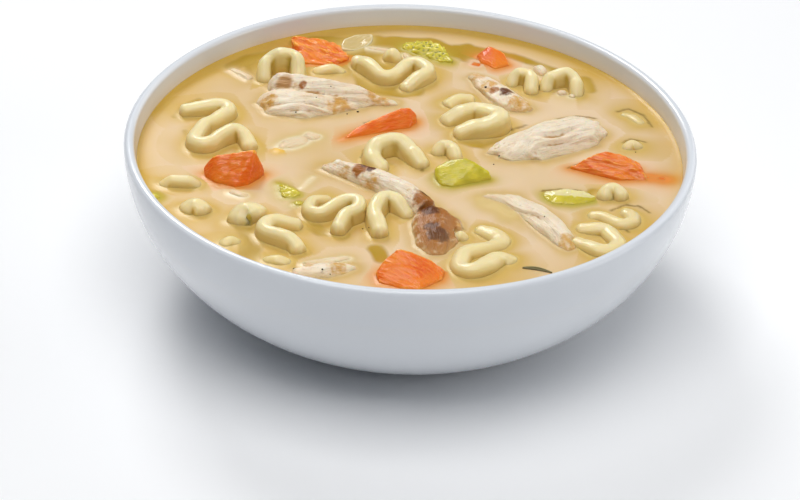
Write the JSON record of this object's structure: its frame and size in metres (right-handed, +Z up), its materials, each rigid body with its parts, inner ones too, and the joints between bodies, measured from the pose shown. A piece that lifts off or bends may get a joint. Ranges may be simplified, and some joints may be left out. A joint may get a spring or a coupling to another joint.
{
  "type": "bowl of chicken noodle soup",
  "caption": "Round coupe bowl filled with golden broth, wavy egg noodles, carrot dice, celery and strips of chicken.",
  "frame": {"origin": "centre of the bowl's foot, on the surface it stands on", "axes": "+Z up through the middle of the bowl, -Y towards the side shown in front, +X to the right of that side"},
  "size_m": [0.16, 0.16, 0.0509],
  "materials": {
    "glaze": "white gloss glaze",
    "broth": "wet, slightly cloudy golden broth",
    "noodle": "wet, pale egg noodle",
    "carrot": "wet cut carrot",
    "celery": "wet olive green celery",
    "chicken": "wet cooked meat",
    "onion": "wet translucent onion leaf"
  },
  "bodies": {
    "root": {"bowl": "glaze", "broth": "broth", "carrot_1": "carrot", "carrot_2": "carrot", "carrot_3": "carrot", "carrot_4": "carrot", "carrot_5": "carrot", "carrot_6": "carrot", "celery_1": "celery", "celery_2": "celery", "celery_3": "celery", "celery_4": "celery", "chicken_1": "chicken", "chicken_2": "chicken", "chicken_3": "chicken", "chicken_4": "chicken", "chicken_5": "chicken", "chicken_6": "chicken", "chicken_7": "chicken", "chicken_8": "chicken", "noodle_01": "noodle", "noodle_02": "noodle", "noodle_03": "noodle", "noodle_04": "noodle", "noodle_05": "noodle", "noodle_06": "noodle", "noodle_07": "noodle", "noodle_08": "noodle", "noodle_09": "noodle", "noodle_10": "noodle", "noodle_11": "noodle", "noodle_12": "noodle", "noodle_13": "noodle", "noodle_14": "noodle", "noodle_15": "noodle", "noodle_16": "noodle", "noodle_17": "noodle", "noodle_18": "noodle", "noodle_19": "noodle", "noodle_20": "noodle", "noodle_21": "noodle", "noodle_22": "noodle", "noodle_23": "noodle", "noodle_24": "noodle", "noodle_25": "noodle", "noodle_26": "noodle", "onion": "onion"}
  },
  "joints": []
}
